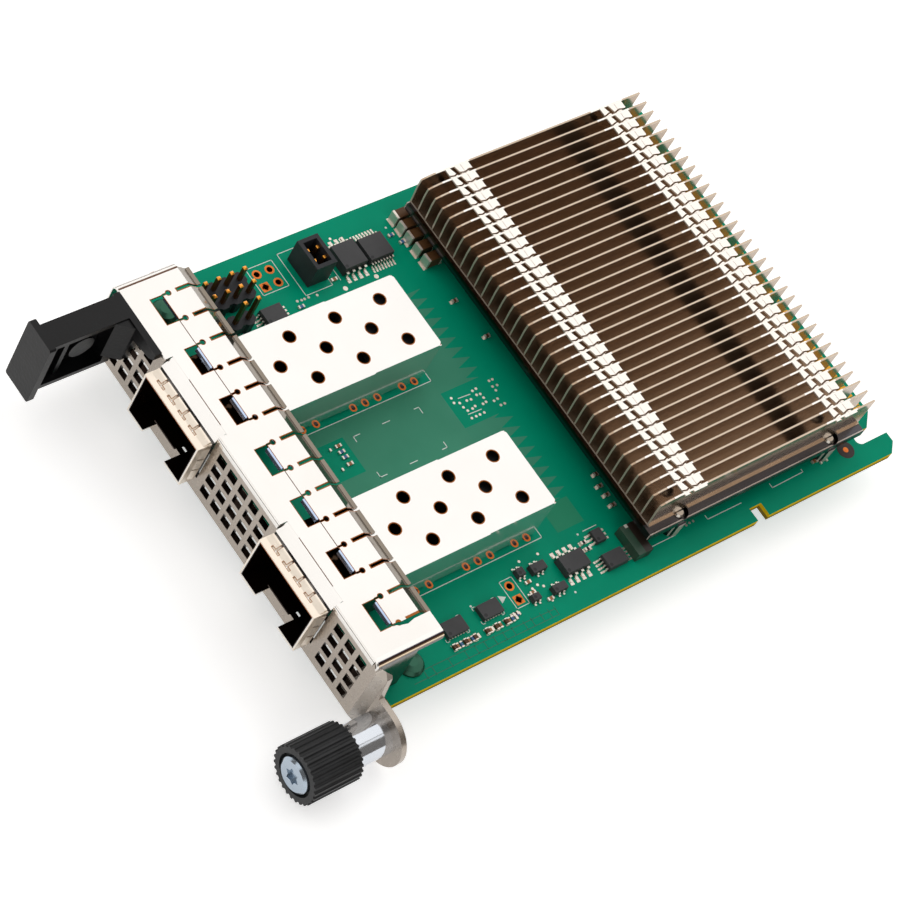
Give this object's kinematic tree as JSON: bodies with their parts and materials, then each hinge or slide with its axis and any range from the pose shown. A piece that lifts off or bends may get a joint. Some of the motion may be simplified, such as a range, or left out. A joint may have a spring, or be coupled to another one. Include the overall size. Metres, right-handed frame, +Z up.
{
  "type": "mezzanine network card",
  "caption": "Server mezzanine network card with module cages, vented faceplate, spring contact strip, pull tab, captive thumbscrew and tall folded fin heat sink.",
  "frame": {"origin": "on the faceplate's front plane, at the board's middle and the height of its top face", "axes": "+X along the faceplate towards the thumbscrew, +Y from the faceplate to the edge connector, +Z up from the board's component side"},
  "size_m": [0.0837, 0.131, 0.0196],
  "materials": {
    "board_laminate": "green solder mask, satin",
    "gold_contact": "gold plate, bright",
    "plate_steel": "nickel plated steel, satin",
    "spring_steel": "stainless spring sheet, bright",
    "cage_steel": "tin plated sheet, bright",
    "bright_steel": "zinc plated, bright",
    "tab_plastic": "black moulded, fine grain",
    "connector_plastic": "black moulded",
    "sink_metal": "nickel plated, satin",
    "pad_rubber": "matt",
    "chip_plastic": "black moulded, matt",
    "brown_ceramic": "brown ceramic, satin"
  },
  "bodies": {
    "card": {"box_header": "connector_plastic", "box_header_pins": "gold_contact", "cage_collar_1": "spring_steel", "cage_collar_2": "spring_steel", "ceramic_capacitors": "brown_ceramic", "circuit_board": "board_laminate", "controller_chip": "chip_plastic", "driver_chip": "chip_plastic", "edge_contacts": "gold_contact", "emi_strip": "spring_steel", "faceplate": "plate_steel", "faceplate_screws": "plate_steel", "heatsink_base": "sink_metal", "heatsink_fins": "sink_metal", "heatsink_screws": "plate_steel", "logic_chip": "chip_plastic", "memory_chip": "chip_plastic", "module_cage_1": "cage_steel", "module_cage_2": "cage_steel", "pin_header_2": "connector_plastic", "pin_header_2_pins": "gold_contact", "pin_header_8": "connector_plastic", "pin_header_8_pins": "gold_contact", "port_connector_1": "connector_plastic", "port_connector_2": "connector_plastic", "port_contacts_1": "gold_contact", "port_contacts_2": "gold_contact", "power_inductor": "chip_plastic", "power_switches": "chip_plastic", "pull_tab": "tab_plastic", "regulator_chip": "chip_plastic", "resistors": "chip_plastic", "sensor_chip": "chip_plastic", "small_capacitors": "brown_ceramic", "supervisor_chip": "chip_plastic", "thermal_pad": "pad_rubber", "thumbscrew_sleeve": "bright_steel", "transistors": "chip_plastic"},
    "thumbscrew_carrier": {"thumbscrew_spring": "spring_steel"},
    "thumbscrew": {"thumbscrew_knob": "tab_plastic", "thumbscrew_screw": "bright_steel"}
  },
  "joints": [
    {"name": "thumbscrew_push", "type": "slide", "parent": "card", "child": "thumbscrew_carrier", "axis": [0, 1, 0], "range_m": [0, 0.0036], "stiffness_N_per_m": 300, "springref_m": -0.003, "deforming": ["thumbscrew_spring"]},
    {"name": "thumbscrew_turn", "type": "hinge", "parent": "thumbscrew_carrier", "child": "thumbscrew", "pos_m": [0.0403, 0, -0.0018], "axis": [0, 1, 0], "continuous": true}
  ]
}
